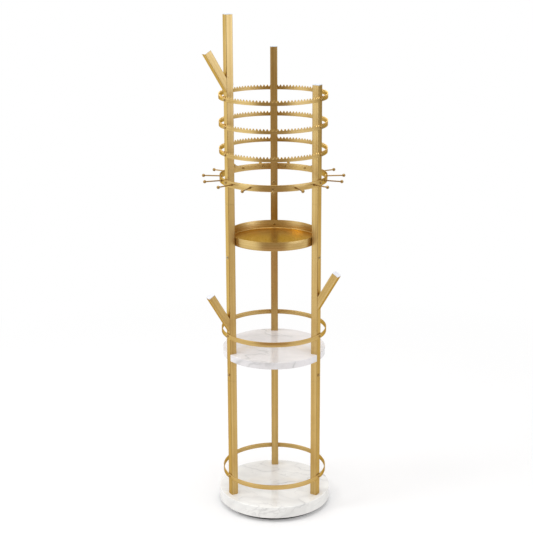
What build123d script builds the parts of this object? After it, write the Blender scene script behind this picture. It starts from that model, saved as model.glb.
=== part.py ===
from build123d import *
import math
import os

# Round three-post jewellery stand that turns on a flat swivel foot.
# Millimetres, +Z up, the front is -Y. The origin is on the floor, on the axis of the swivel.
# Each piece of a post is drawn on the +X side, where X is radial, and then turned to its post.

# Clearances
slip = 0.3              # between pieces that pass or hold each other loosely
snug = 0.05             # radial, round a shank, a pin or a ball
plug_slip = 0.15        # each side, between a plug or joiner and the inside of its tube
seam = 0.4              # open line between two lengths of a post

# Swivel foot
foot_inset = 17.0       # from the rim of the base to the rim of the foot
pad_inset = 2.5         # from the rim of the foot to the rim of the pad
pad_thickness = 3.0
foot_floor = 3.0        # under the bearing
foot_gap = 1.0          # between the rim of the foot and the base that turns above it
foot_edge = 1.5

# Ball bearing
ball_circle_radius = 90.0
ball_radius = 3.0
ball_count = 24
race_half_width = 20.0
race_thickness = 3.5
race_gap = 1.0
race_screw_offset = 12.0   # from the ball circle to the screws
race_screw_count = 6
race_screw_bite = 12.0     # of the upper screws, into the base
pivot_radius = 5.0
pivot_shoulder_radius = 9.0
pivot_shoulder_height = 2.5
pivot_reach = 12.0         # into the base
pivot_lead = 1.0           # chamfer on its end
bush_wall = 3.0
bush_length = 14.0

# Base
base_radius = 177.5
base_thickness = 37.0
base_top_round = 3.0
base_bottom_round = 1.5
counterbore_radius = 8.0
counterbore_depth = 9.0

# Posts
post_size = 22.0
post_wall = 1.2
post_corner = 1.5
tube_inner_corner = 0.6  # inside the posts and the hooks
post_inset = 27.5       # from the rim of the base to the middle of a post
post_angles = {"right": -30.0, "back": 90.0, "left": 210.0}
joiner_reach = 40.0     # into each of the two lengths
joiner_wall = 2.0
joiner_screw_rise = 20.0   # above the joint
end_cap_thickness = 2.0
end_cap_plug = 10.0
end_cap_edge = 0.5
plug_corner = 0.75      # of the plugs and joiners
foot_nut_height = 10.0

# Rings and rails
band_thickness = 2.5
rail_height = 15.0
necklace_ring_height = 20.0
earring_band_height = 9.5  # below the teeth
tooth_height = 5.5
tooth_count = 99
tooth_round = 1.6          # radius of tips and valleys
tooth_land = 0.35          # half the flat on a tip

# Necklace pegs
pegs_per_side = 5          # between two posts
peg_step = 24.0            # degrees
peg_radius = 2.0
peg_ball_radius = 5.0
peg_length = 51.5          # from the ring to the middle of the ball
peg_collar_radius = 3.5
peg_collar_length = 2.0
peg_nut_thickness = 3.0
peg_thread_end = 1.0

# Shelf and tray
shelf_thickness = 22.0
shelf_top_round = 2.0
shelf_bottom_round = 1.0
bracket_thickness = 2.0
bracket_width = 13.0
bracket_reach = 28.0
bracket_drop = 25.0
bracket_screw_drop = 14.0
shelf_screw_inset = 18.0
shelf_screw_bite = 12.0
tray_height = 27.5
tray_wall = 1.2
tray_floor = 1.2
tray_round = 2.0

# Hooks
hook_size = 22.0
hook_wall = 1.2
hook_angle = 59.0          # degrees above the horizontal
hook_length = 115.0
hook_plate_thickness = 3.0
hook_cap_thickness = 1.6
hook_cap_plug = 8.0
spare_insert_posts = ("left", "right")
insert_flange_radius = 6.0
insert_flange_thickness = 0.8
insert_body_radius = 4.4
insert_bore_radius = 2.6
insert_length = 10.0

# Heights on the posts, from the base upwards, each measured from a piece below it
base_rail_rise = 54.5      # base to the lower edge of its rail
lower_joint_gap = 316.5    # base rail to the lower joints of the posts
shelf_gap = 90.0           # lower joints to the upper face of the shelf
middle_rail_gap = 50.5     # shelf to the middle rail
bag_hook_gap = 30.5        # middle rail to the middle of the hook's root
headband_hook_gap = 70.0   # bag hook to headband hook, root to root
spare_insert_gap = 143.0   # headband hook to the spare inserts
tray_gap = 35.5            # spare inserts to the underside of the tray
upper_joint_gap = 103.0    # rim of the tray to the upper joints of the posts
necklace_ring_gap = 56.0   # upper joints to the necklace ring
first_earring_gap = 68.5   # necklace ring to the lowest earring ring
earring_gap = 67.0         # tips of one earring ring to the next ring
scarf_hook_gap = 34.0      # tips of the top earring ring to the middle of the hook's root
right_post_gap = 32.5      # tips of the top earring ring to the end of the right post
back_post_gap = 118.5      # tips of the top earring ring to the end of the back post
left_post_gap = 202.5      # scarf hook's root to the end of the left post

# Fasteners
small_shank = 2.0          # radii
small_head = 4.0
small_head_height = 2.4
small_nut_flats = 7.0
small_nut_thickness = 3.2
small_thread_end = 1.0     # shank past its nut
joiner_shank = 2.5
joiner_head = 4.75
joiner_head_height = 2.7
hook_shank = 3.0
hook_head = 5.2
hook_head_height = 3.3
base_shank = 4.0
base_head = 7.0
base_head_height = 5.0
socket_share = 0.45        # width of a driver's socket beside its head
socket_depth_share = 0.6
head_round_share = 0.35    # round of a head beside its height

# Heights above the base that follow
lower_joint = base_rail_rise + rail_height + lower_joint_gap
shelf_rise = lower_joint + shelf_gap
middle_rail_rise = shelf_rise + middle_rail_gap
bag_hook_rise = middle_rail_rise + rail_height + bag_hook_gap
headband_hook_rise = bag_hook_rise + headband_hook_gap
spare_insert_rise = headband_hook_rise + spare_insert_gap
tray_rise = spare_insert_rise + tray_gap
upper_joint = tray_rise + tray_height + upper_joint_gap
necklace_ring_rise = upper_joint + necklace_ring_gap
earring_height = earring_band_height + tooth_height
earring_rise = necklace_ring_rise + necklace_ring_height + first_earring_gap
earring_pitch = earring_height + earring_gap
earring_rises = {
    "lower": earring_rise,
    "middle": earring_rise + earring_pitch,
    "top": earring_rise + 2 * earring_pitch,
}
rings_top = earring_rises["top"] + earring_height
scarf_hook_rise = rings_top + scarf_hook_gap
post_heights = {
    "right": rings_top + right_post_gap,
    "back": rings_top + back_post_gap,
    "left": scarf_hook_rise + left_post_gap,
}
hooks = {
    "scarf_hook": ("left", scarf_hook_rise),
    "bag_hook": ("left", bag_hook_rise),
    "headband_hook": ("right", headband_hook_rise),
}

# Heights above the floor that follow
race_floor_z = pad_thickness + foot_floor
ball_z = race_floor_z + race_thickness + race_gap / 2
base_bottom_z = race_floor_z + 2 * race_thickness + race_gap
foot_top_z = base_bottom_z - foot_gap
base_top_z = base_bottom_z + base_thickness
shelf_top_z = base_top_z + shelf_rise
shelf_bottom_z = shelf_top_z - shelf_thickness
tray_bottom_z = base_top_z + tray_rise

# Radii that follow
foot_radius = base_radius - foot_inset
pad_radius = foot_radius - pad_inset
post_radius = base_radius - post_inset
post_outer = post_radius + post_size / 2
post_inner = post_radius - post_size / 2
post_bore = post_size - 2 * post_wall
band_inner = math.hypot(post_outer, post_size / 2) + snug
band_outer = band_inner + band_thickness
tray_radius = post_inner - slip
groove_radius = ball_radius + snug
race_outer = ball_circle_radius + race_half_width
race_inner = ball_circle_radius - race_half_width
bush_radius = pivot_radius + snug + bush_wall

on_floor = (Align.CENTER, Align.CENTER, Align.MIN)
ring_heights = {
    "base_rail": (base_rail_rise, rail_height),
    "middle_rail": (middle_rail_rise, rail_height),
    "necklace_ring": (necklace_ring_rise, necklace_ring_height),
}


def disc(radius, low, high):
    """Solid cylinder about the axis."""
    return Pos(0, 0, low) * Cylinder(radius, high - low, align=on_floor)


def band(outer, inner, low, high):
    """Plain ring about the axis."""
    return disc(outer, low, high) - disc(inner, low, high)


def rod(radius, start, end, height):
    """Cylinder that lies along the radius, from start to end."""
    return Pos(start, 0, height) * Rot(0, 90, 0) * Cylinder(radius, end - start, align=on_floor)


def hexagon(flats, start, end, height):
    """Six-sided prism that lies along the radius."""
    outline = RegularPolygon(flats / 2, 6, major_radius=False)
    return Pos(start, 0, height) * Rot(0, 90, 0) * extrude(outline, end - start)


def square_bar(size, corner, low, high):
    """Upright square bar with rounded corners, in the middle of its post."""
    return Pos(post_radius, 0, low) * extrude(RectangleRounded(size, size, corner), high - low)


def turned(shape, angle):
    return Rot(0, 0, angle) * shape


def round_the_posts(shape):
    """The same piece at each post."""
    return [turned(shape, angle) for angle in post_angles.values()]


def driver_socket(head, head_height, start, direction, height):
    """Six-sided socket sunk into a screw head from its outer end."""
    depth = head_height * socket_depth_share
    low, high = sorted((start, start - direction * depth))
    return hexagon(2 * head * socket_share, low, high, height)


def radial_screw(shank, head, head_height, seat, tip, height):
    """Screw along the radius. Its head sits outside the seat, on the side away from the tip."""
    direction = 1 if seat > tip else -1
    far = seat + direction * head_height
    body = rod(head, min(seat, far), max(seat, far), height)
    edge = body.faces().sort_by(Axis.X)[-1 if direction > 0 else 0].edges()
    body = fillet(edge, head_height * head_round_share)
    body += rod(shank, min(seat, tip), max(seat, tip), height)
    return body - driver_socket(head, head_height, far, direction, height)


def inner_nut(wall_face, direction, height):
    """Weld nut inside a post, flat against the wall that the screw comes through."""
    far = wall_face + direction * small_nut_thickness
    low, high = sorted((wall_face, far))
    return hexagon(small_nut_flats, low, high, height) - rod(small_shank + snug, low, high, height)


def outer_screw_rises():
    """Heights of the screws that come through the outer wall of every post."""
    rings = [rise + tall / 2 for rise, tall in ring_heights.values()]
    return rings + [rise + earring_band_height / 2 for rise in earring_rises.values()]


# Swivel foot and its bearing

def non_slip_pad():
    return disc(pad_radius, 0, pad_thickness)


def race_screw_places(offset):
    step = 360 / race_screw_count
    radius = ball_circle_radius + offset
    return [turned(Pos(radius, 0, 0), n * step + step / 2) for n in range(race_screw_count)]


def foot_plate():
    plate = disc(foot_radius, pad_thickness, foot_top_z)
    plate = chamfer(plate.edges().filter_by(GeomType.CIRCLE), foot_edge)
    plate -= disc(race_outer + slip, race_floor_z, foot_top_z)
    plate -= disc(pivot_radius + snug, pad_thickness, race_floor_z)
    hole = disc(small_shank + snug, pad_thickness, race_floor_z)
    return plate - [place * hole for place in race_screw_places(-race_screw_offset)]


def groove():
    return Pos(0, 0, ball_z) * Torus(ball_circle_radius, groove_radius)


def countersunk_hole(face, direction):
    """Hole for a flush screw through a race, entered at the given face."""
    low, high = sorted((face, face + direction * race_thickness))
    cone_low, cone_high = sorted((face, face + direction * (small_head - small_shank)))
    radii = (small_head, small_shank) if direction > 0 else (small_shank, small_head)
    cone = Pos(0, 0, cone_low) * Cone(radii[0] + snug, radii[1] + snug, cone_high - cone_low, align=on_floor)
    return disc(small_shank + snug, low, high) + cone


def countersunk_screw(face, direction, length):
    """Flush screw whose head lies in the given face and whose shank runs in the given direction."""
    low, high = sorted((face, face + direction * length))
    cone_low, cone_high = sorted((face, face + direction * (small_head - small_shank)))
    radii = (small_head, small_shank) if direction > 0 else (small_shank, small_head)
    cone = Pos(0, 0, cone_low) * Cone(radii[0], radii[1], cone_high - cone_low, align=on_floor)
    return disc(small_shank, low, high) + cone


def lower_race():
    face = race_floor_z + race_thickness
    race = band(race_outer, race_inner, race_floor_z, face) - groove()
    return race - [place * countersunk_hole(face, -1) for place in race_screw_places(-race_screw_offset)]


def upper_race():
    face = base_bottom_z - race_thickness
    race = band(race_outer, race_inner, face, base_bottom_z) - groove()
    return race - [place * countersunk_hole(face, 1) for place in race_screw_places(race_screw_offset)]


def lower_race_screws():
    length = race_thickness + foot_floor - slip
    screw = countersunk_screw(race_floor_z + race_thickness, -1, length)
    return [place * screw for place in race_screw_places(-race_screw_offset)]


def upper_race_screws():
    screw = countersunk_screw(base_bottom_z - race_thickness, 1, race_thickness + race_screw_bite)
    return [place * screw for place in race_screw_places(race_screw_offset)]


def bearing_balls():
    ball = Pos(ball_circle_radius, 0, ball_z) * Sphere(ball_radius)
    return [turned(ball, n * 360 / ball_count) for n in range(ball_count)]


def pivot_pin():
    """Pin fixed in the foot. A shoulder stands on the floor of the foot."""
    pin = disc(pivot_radius, pad_thickness, base_bottom_z + pivot_reach)
    pin = chamfer(pin.edges().group_by(Axis.Z)[-1], pivot_lead)
    return pin + disc(pivot_shoulder_radius, race_floor_z, race_floor_z + pivot_shoulder_height)


def pivot_bush():
    return band(bush_radius, pivot_radius + snug, base_bottom_z, base_bottom_z + bush_length)


# Base, with the bolts that hold the posts from below

def base_disc():
    disc_body = disc(base_radius, base_bottom_z, base_top_z)
    disc_body = fillet(disc_body.edges().group_by(Axis.Z)[-1], base_top_round)
    disc_body = fillet(disc_body.edges().group_by(Axis.Z)[0], base_bottom_round)
    disc_body -= disc(bush_radius, base_bottom_z, base_bottom_z + bush_length + slip)
    pilot = disc(small_shank + snug, base_bottom_z, base_bottom_z + race_screw_bite + slip)
    disc_body -= [place * pilot for place in race_screw_places(race_screw_offset)]
    bolt_way = disc(base_shank + slip, base_bottom_z, base_top_z)
    bolt_way += disc(counterbore_radius, base_bottom_z, base_bottom_z + counterbore_depth)
    return disc_body - round_the_posts(Pos(post_radius, 0, 0) * bolt_way)


def base_bolts():
    """Bolts whose heads are sunk in the underside of the base."""
    seat = base_bottom_z + counterbore_depth
    bolt = disc(base_head, seat - base_head_height, seat) + disc(base_shank, seat, base_top_z + foot_nut_height)
    socket_low = seat - base_head_height
    socket = RegularPolygon(base_head * socket_share, 6, major_radius=False)
    bolt -= Pos(0, 0, socket_low) * extrude(socket, base_head_height * socket_depth_share)
    return round_the_posts(Pos(post_radius, 0, 0) * bolt)


def post_foot_nuts():
    """Threaded blocks welded into the lower ends of the posts."""
    size = post_bore - 2 * plug_slip
    block = square_bar(size, plug_corner, base_top_z, base_top_z + foot_nut_height)
    bore = Pos(post_radius, 0, 0) * disc(base_shank + snug, base_top_z, base_top_z + foot_nut_height)
    return round_the_posts(block - bore)


# Posts

def post_length(low, high, ways):
    """One length of square tube, with its screw ways cut."""
    tube = square_bar(post_size, post_corner, low, high) - square_bar(post_bore, tube_inner_corner, low, high)
    return tube - [way for way, height in ways if low < height < high]


def screw_ways(name):
    """Screw ways through the walls of one post, each with its height."""
    outer_wall = (post_outer - post_wall, post_outer)
    inner_wall = (post_inner, post_inner + post_wall)
    ways = []

    def add(radius, wall, height):
        ways.append((rod(radius + slip / 2, wall[0], wall[1], height), height))

    for rise in outer_screw_rises():
        add(small_shank, outer_wall, base_top_z + rise)
    add(small_shank, inner_wall, shelf_bottom_z - bracket_screw_drop)
    add(small_shank, inner_wall, tray_bottom_z + tray_height / 2)
    add(joiner_shank, outer_wall, base_top_z + lower_joint + joiner_screw_rise)
    add(joiner_shank, inner_wall, base_top_z + upper_joint + joiner_screw_rise)
    for post, rise in hooks.values():
        if post == name:
            add(hook_shank, outer_wall, base_top_z + rise)
            add(hook_shank, inner_wall, base_top_z + rise)
    if name in spare_insert_posts:
        add(insert_body_radius, outer_wall, base_top_z + spare_insert_rise)
    return ways


def post_lengths(name):
    """The lower, middle and upper length of one post."""
    ways = screw_ways(name)
    half = seam / 2
    joints = [base_top_z + lower_joint, base_top_z + upper_joint]
    top = base_top_z + post_heights[name]
    spans = {
        "lower": (base_top_z, joints[0] - half),
        "middle": (joints[0] + half, joints[1] - half),
        "upper": (joints[1] + half, top),
    }
    angle = post_angles[name]
    return {level: turned(post_length(low, high, ways), angle) for level, (low, high) in spans.items()}


def joiners(joint, wall_side):
    """Square sleeves inside the posts at one joint, tapped on the side where their screw enters."""
    middle = base_top_z + joint
    low, high = middle - joiner_reach, middle + joiner_reach
    size = post_bore - 2 * plug_slip
    sleeve = square_bar(size, plug_corner, low, high)
    sleeve -= square_bar(size - 2 * joiner_wall, plug_corner, low, high)
    face = post_radius + wall_side * size / 2
    inside = face - wall_side * joiner_wall
    start, end = sorted((face, inside))
    sleeve -= rod(joiner_shank + snug, start, end, middle + joiner_screw_rise)
    return round_the_posts(sleeve)


def joiner_screws(joint, wall_side):
    seat = post_radius + wall_side * post_size / 2
    tip = seat - wall_side * (post_wall + plug_slip + joiner_wall + small_thread_end)
    height = base_top_z + joint + joiner_screw_rise
    return round_the_posts(radial_screw(joiner_shank, joiner_head, joiner_head_height, seat, tip, height))


def post_end_caps():
    """Pale square plugs in the tops of the posts."""
    caps = []
    for name, angle in post_angles.items():
        top = base_top_z + post_heights[name]
        cap = square_bar(post_size, post_corner, top, top + end_cap_thickness)
        cap = chamfer(cap.edges().group_by(Axis.Z)[-1], end_cap_edge)
        cap += square_bar(post_bore - 2 * plug_slip, plug_corner, top - end_cap_plug, top)
        caps.append(turned(cap, angle))
    return caps


# Rails and rings, which pass outside the posts

def plain_ring(name):
    rise, tall = ring_heights[name]
    low = base_top_z + rise
    ring = band(band_outer, band_inner, low, low + tall)
    hole = rod(small_shank + slip / 2, band_inner - slip, band_outer + slip, low + tall / 2)
    return ring - round_the_posts(hole)


def tooth_gap():
    """Prism along the radius that leaves the space between two teeth, with its valley at height 0."""
    half_pitch = math.pi * (band_inner + band_outer) / 2 / tooth_count
    side = half_pitch - tooth_land
    drop = tooth_round - math.sqrt(tooth_round ** 2 - tooth_land ** 2)
    valley = (0, tooth_round)
    tip = (half_pitch, tooth_height + drop - tooth_round)
    run, climb = tip[0] - valley[0], tip[1] - valley[1]
    flank = math.atan2(climb, run) + math.asin(2 * tooth_round / math.hypot(run, climb))
    across = (math.sin(flank), -math.cos(flank))
    low_end = (valley[0] + tooth_round * across[0], valley[1] + tooth_round * across[1])
    high_end = (tip[0] - tooth_round * across[0], tip[1] - tooth_round * across[1])
    mid_turn = (flank + math.asin(tooth_land / tooth_round)) / 2
    tip_mid = (tip[0] - tooth_round * math.sin(mid_turn), tip[1] + tooth_round * math.cos(mid_turn))
    crown = (side, tooth_height)
    clear = (side, tooth_height + slip)

    def mirrored(point):
        return (-point[0], point[1])

    edges = [
        ThreePointArc(mirrored(low_end), (0, 0), low_end),
        Line(low_end, high_end),
        ThreePointArc(high_end, tip_mid, crown),
        Line(crown, clear),
        Line(clear, mirrored(clear)),
        Line(mirrored(clear), mirrored(crown)),
        ThreePointArc(mirrored(crown), mirrored(tip_mid), mirrored(high_end)),
        Line(mirrored(high_end), mirrored(low_end)),
    ]
    outline = make_face(Wire(edges))
    upright = Plane(origin=(band_inner - slip, 0, 0), x_dir=(0, 1, 0), z_dir=(1, 0, 0))
    return extrude(upright * outline, band_thickness + 2 * slip)


def earring_ring():
    """Thin ring with a toothed upper edge, from which the earrings hang. Its lower edge is at height 0."""
    ring = band(band_outer, band_inner, 0, earring_height)
    gap = Pos(0, 0, earring_band_height) * tooth_gap()
    step = 360 / tooth_count
    ring -= [turned(gap, n * step) for n in range(tooth_count)]
    hole = rod(small_shank + slip / 2, band_inner - slip, band_outer + slip, earring_band_height / 2)
    return ring - round_the_posts(hole)


def ring_screws(rise):
    """Screws from outside, through a ring and the outer wall of each post."""
    tip = post_outer - post_wall - small_nut_thickness - small_thread_end
    screw = radial_screw(small_shank, small_head, small_head_height, band_outer, tip, base_top_z + rise)
    return round_the_posts(screw)


def ring_nuts(rise):
    return round_the_posts(inner_nut(post_outer - post_wall, -1, base_top_z + rise))


# Necklace pegs

def peg_angles():
    """Evenly spaced angles on the side between each two posts."""
    first = -(pegs_per_side - 1) / 2 * peg_step
    middles = [angle + 180 / len(post_angles) for angle in post_angles.values()]
    return [middle + first + n * peg_step for middle in middles for n in range(pegs_per_side)]


def necklace_ring():
    middle = base_top_z + necklace_ring_rise + necklace_ring_height / 2
    hole = rod(peg_radius + slip / 2, band_inner - slip, band_outer + slip, middle)
    return plain_ring("necklace_ring") - [turned(hole, angle) for angle in peg_angles()]


def seat_inside(wall_radius, edge):
    """Radius at which the edge of a flat nut or head touches the inside of a round wall."""
    return math.sqrt(wall_radius ** 2 - edge ** 2) - snug


def peg_nut_seat():
    return seat_inside(band_inner, small_nut_flats / math.sqrt(3))


def necklace_pegs():
    """Thin rods with a ball at the end, shouldered against the ring."""
    middle = base_top_z + necklace_ring_rise + necklace_ring_height / 2
    ball_at = band_outer + peg_length
    peg = rod(peg_radius, peg_nut_seat() - peg_nut_thickness - peg_thread_end, ball_at, middle)
    peg += rod(peg_collar_radius, band_outer, band_outer + peg_collar_length, middle)
    peg += Pos(ball_at, 0, middle) * Sphere(peg_ball_radius)
    return [turned(peg, angle) for angle in peg_angles()]


def peg_nuts():
    middle = base_top_z + necklace_ring_rise + necklace_ring_height / 2
    seat = peg_nut_seat()
    nut = hexagon(small_nut_flats, seat - peg_nut_thickness, seat, middle)
    nut -= rod(peg_radius + snug, seat - peg_nut_thickness, seat, middle)
    return [turned(nut, angle) for angle in peg_angles()]


# Shelf and tray

def middle_shelf():
    """Stone-look disc, notched at its rim where the posts pass."""
    shelf = disc(post_outer, shelf_bottom_z, shelf_top_z)
    shelf = fillet(shelf.edges().group_by(Axis.Z)[-1], shelf_top_round)
    shelf = fillet(shelf.edges().group_by(Axis.Z)[0], shelf_bottom_round)
    width = post_size + 2 * slip
    notch = Pos(tray_radius, 0, shelf_bottom_z) * Box(
        width, width, shelf_thickness, align=(Align.MIN, Align.CENTER, Align.MIN)
    )
    shelf -= round_the_posts(notch)
    pilot = disc(small_shank + snug, shelf_bottom_z, shelf_bottom_z + shelf_screw_bite + slip)
    return shelf - round_the_posts(Pos(post_inner - shelf_screw_inset, 0, 0) * pilot)


def shelf_brackets():
    """Angle brackets on the inner faces of the posts, under the shelf."""
    high = (Align.MAX, Align.CENTER, Align.MAX)
    corner = Pos(post_inner, 0, shelf_bottom_z)
    bracket = corner * Box(bracket_thickness, bracket_width, bracket_drop, align=high)
    bracket += corner * Box(bracket_reach, bracket_width, bracket_thickness, align=high)
    screw_z = shelf_bottom_z - bracket_screw_drop
    bracket -= rod(small_shank + slip / 2, post_inner - bracket_thickness, post_inner, screw_z)
    hole = disc(small_shank + slip / 2, shelf_bottom_z - bracket_thickness, shelf_bottom_z)
    bracket -= Pos(post_inner - shelf_screw_inset, 0, 0) * hole
    return round_the_posts(bracket)


def inner_wall_screws(seat, height):
    """Screws from inside the stand, through the inner wall of each post."""
    tip = post_inner + post_wall + small_nut_thickness + small_thread_end
    return round_the_posts(radial_screw(small_shank, small_head, small_head_height, seat, tip, height))


def inner_wall_nuts(height):
    return round_the_posts(inner_nut(post_inner + post_wall, 1, height))


def shelf_screws():
    """Screws from below, through the brackets into the shelf."""
    seat = shelf_bottom_z - bracket_thickness
    screw = disc(small_head, seat - small_head_height, seat)
    screw += disc(small_shank, seat, shelf_bottom_z + shelf_screw_bite)
    socket = RegularPolygon(small_head * socket_share, 6, major_radius=False)
    screw -= Pos(0, 0, seat - small_head_height) * extrude(socket, small_head_height * socket_depth_share)
    return round_the_posts(Pos(post_inner - shelf_screw_inset, 0, 0) * screw)


def tray():
    """Round tray with an upright wall, held between the posts."""
    top = tray_bottom_z + tray_height
    shell = disc(tray_radius, tray_bottom_z, top)
    shell = fillet(shell.edges().group_by(Axis.Z)[0], tray_round)
    shell -= disc(tray_radius - tray_wall, tray_bottom_z + tray_floor, top)
    middle = tray_bottom_z + tray_height / 2
    return shell - round_the_posts(rod(small_shank + slip / 2, tray_radius - 2 * tray_wall, post_inner, middle))


# Hooks

def hook_bar(size, corner, start, end):
    """Square bar along the line of a hook whose root is at height 0 on the outer face of a post."""
    lean = Plane(
        origin=(post_outer, 0, 0),
        x_dir=(0, 1, 0),
        z_dir=(math.cos(math.radians(hook_angle)), 0, math.sin(math.radians(hook_angle))),
    )
    return lean * Pos(0, 0, start) * extrude(RectangleRounded(size, size, corner), end - start)


def outside_the_post(shape):
    """The part of a hook's bar that lies past the outer face of its post."""
    reach = 3 * hook_length
    behind = Box(reach, reach, reach, align=(Align.MAX, Align.CENTER, Align.CENTER))
    return shape - Pos(post_outer, 0, 0) * behind


def hook_back():
    """How far behind its root a hook's bar must start, so that its mitred end is whole."""
    return hook_size / 2 * math.tan(math.radians(hook_angle)) + hook_size / 2


def at_hook(shape, name):
    post, rise = hooks[name]
    return turned(Pos(0, 0, base_top_z + rise) * shape, post_angles[post])


def hook(name):
    """Square tube, cut on a slant where it meets its post."""
    tube = hook_bar(hook_size, post_corner, -hook_back(), hook_length)
    tube -= hook_bar(hook_size - 2 * hook_wall, tube_inner_corner, -hook_back(), hook_length)
    return at_hook(outside_the_post(tube), name)


def hook_plates():
    """Threaded plates welded inside the slanted ends of the hooks."""
    size = hook_size - 2 * hook_wall - 2 * plug_slip
    core = outside_the_post(hook_bar(size, plug_corner, -hook_back(), hook_length - hook_cap_plug))
    slab = Pos(post_outer, 0, 0) * Box(
        hook_plate_thickness, 2 * hook_size, 4 * hook_size, align=(Align.MIN, Align.CENTER, Align.CENTER)
    )
    plate = core & slab
    plate -= rod(hook_shank + snug, post_outer, post_outer + hook_plate_thickness, 0)
    return [at_hook(plate, name) for name in hooks]


def hook_bolts():
    """Bolts from inside the stand, through both walls of the post, into the hooks' plates."""
    tip = post_outer + hook_plate_thickness
    bolt = radial_screw(hook_shank, hook_head, hook_head_height, post_inner, tip, 0)
    return [at_hook(bolt, name) for name in hooks]


def hook_end_caps():
    size = hook_size - 2 * hook_wall - 2 * plug_slip
    plug = hook_bar(size, plug_corner, hook_length - hook_cap_plug, hook_length)
    cap = hook_bar(hook_size, post_corner, hook_length, hook_length + hook_cap_thickness) + plug
    return [at_hook(cap, name) for name in hooks]


def spare_hook_inserts():
    """Threaded inserts in the posts, where a hook can be moved to."""
    height = base_top_z + spare_insert_rise
    insert = rod(insert_flange_radius, post_outer, post_outer + insert_flange_thickness, height)
    insert += rod(insert_body_radius, post_outer - insert_length, post_outer, height)
    end = post_outer + insert_flange_thickness
    insert -= rod(insert_bore_radius, post_outer - insert_length, end, height)
    return [turned(insert, post_angles[name]) for name in spare_insert_posts]


def all_nodes():
    """Every node's name with its solid, or its list of like solids."""
    nodes = {
        "non_slip_pad": non_slip_pad(),
        "foot_plate": foot_plate(),
        "lower_race": lower_race(),
        "lower_race_screws": lower_race_screws(),
        "bearing_balls": bearing_balls(),
        "pivot_pin": pivot_pin(),
        "pivot_bush": pivot_bush(),
        "upper_race": upper_race(),
        "upper_race_screws": upper_race_screws(),
        "base_disc": base_disc(),
        "base_bolts": base_bolts(),
        "post_foot_nuts": post_foot_nuts(),
        "lower_joiners": joiners(lower_joint, 1),
        "lower_joiner_screws": joiner_screws(lower_joint, 1),
        "upper_joiners": joiners(upper_joint, -1),
        "upper_joiner_screws": joiner_screws(upper_joint, -1),
        "post_end_caps": post_end_caps(),
        "middle_shelf": middle_shelf(),
        "shelf_brackets": shelf_brackets(),
        "shelf_screws": shelf_screws(),
        "bracket_screws": inner_wall_screws(post_inner - bracket_thickness, shelf_bottom_z - bracket_screw_drop),
        "bracket_nuts": inner_wall_nuts(shelf_bottom_z - bracket_screw_drop),
        "tray": tray(),
        "tray_screws": inner_wall_screws(
            seat_inside(tray_radius - tray_wall, small_head), tray_bottom_z + tray_height / 2
        ),
        "tray_nuts": inner_wall_nuts(tray_bottom_z + tray_height / 2),
        "base_rail": plain_ring("base_rail"),
        "middle_rail": plain_ring("middle_rail"),
        "necklace_ring": necklace_ring(),
        "necklace_pegs": necklace_pegs(),
        "peg_nuts": peg_nuts(),
        "hook_plates": hook_plates(),
        "hook_bolts": hook_bolts(),
        "hook_end_caps": hook_end_caps(),
        "spare_hook_inserts": spare_hook_inserts(),
    }
    for name in post_angles:
        for level, length in post_lengths(name).items():
            nodes[f"post_{name}_{level}"] = length
    for name, (rise, tall) in ring_heights.items():
        nodes[f"{name}_screws"] = ring_screws(rise + tall / 2)
        nodes[f"{name}_nuts"] = ring_nuts(rise + tall / 2)
    nodes["earring_ring_screws"] = []
    nodes["earring_ring_nuts"] = []
    one_ring = earring_ring()
    for level, rise in earring_rises.items():
        nodes[f"earring_ring_{level}"] = Pos(0, 0, base_top_z + rise) * one_ring
        nodes["earring_ring_screws"] += ring_screws(rise + earring_band_height / 2)
        nodes["earring_ring_nuts"] += ring_nuts(rise + earring_band_height / 2)
    for name in hooks:
        nodes[name] = hook(name)
    return nodes


os.makedirs("parts", exist_ok=True)
for node, shape in all_nodes().items():
    solids = shape if isinstance(shape, list) else [shape]
    single = [solid for piece in solids for solid in piece.solids()]
    export_step(single[0] if len(single) == 1 else Compound(single), f"parts/{node}.step")
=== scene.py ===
import math

import bmesh
import bpy
from bpy.props import FloatProperty, FloatVectorProperty, IntProperty, PointerProperty
from bpy.types import Operator, Panel, PropertyGroup
from mathutils import Matrix, Vector


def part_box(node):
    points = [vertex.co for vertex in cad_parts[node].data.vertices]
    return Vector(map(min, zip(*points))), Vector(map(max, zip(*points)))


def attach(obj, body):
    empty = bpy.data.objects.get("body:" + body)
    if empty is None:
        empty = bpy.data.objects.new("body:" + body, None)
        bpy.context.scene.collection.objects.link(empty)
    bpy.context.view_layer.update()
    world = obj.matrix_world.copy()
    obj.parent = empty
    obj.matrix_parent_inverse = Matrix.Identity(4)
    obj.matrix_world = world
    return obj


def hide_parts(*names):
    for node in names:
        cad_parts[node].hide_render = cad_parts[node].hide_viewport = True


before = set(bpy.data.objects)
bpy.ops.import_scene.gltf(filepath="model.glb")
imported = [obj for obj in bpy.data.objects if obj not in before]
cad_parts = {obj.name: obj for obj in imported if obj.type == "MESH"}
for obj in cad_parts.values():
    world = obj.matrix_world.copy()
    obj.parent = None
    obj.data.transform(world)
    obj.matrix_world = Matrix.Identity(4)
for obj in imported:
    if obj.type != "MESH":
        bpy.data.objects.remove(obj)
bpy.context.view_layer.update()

# Looks of the round jewellery stand, in metres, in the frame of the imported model.
# The front is -Y, the stand's axis is Z, and the floor is at height 0.

bl_info = {
    "name": "Jewellery stand",
    "version": (1, 0, 0),
    "blender": (4, 5, 0),
    "location": "View3D > Sidebar > Stand",
    "description": "Dresses a round three-post jewellery stand in brushed gold and white stone",
    "category": "Object",
}

# The body that every new piece rides on
STAND = "stand"

# The posts' places round the axis and half the angle between two of them, in degrees
POST_ANGLES = {"right": -30.0, "back": 90.0, "left": 210.0}
HALF_GAP = 60.0

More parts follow.
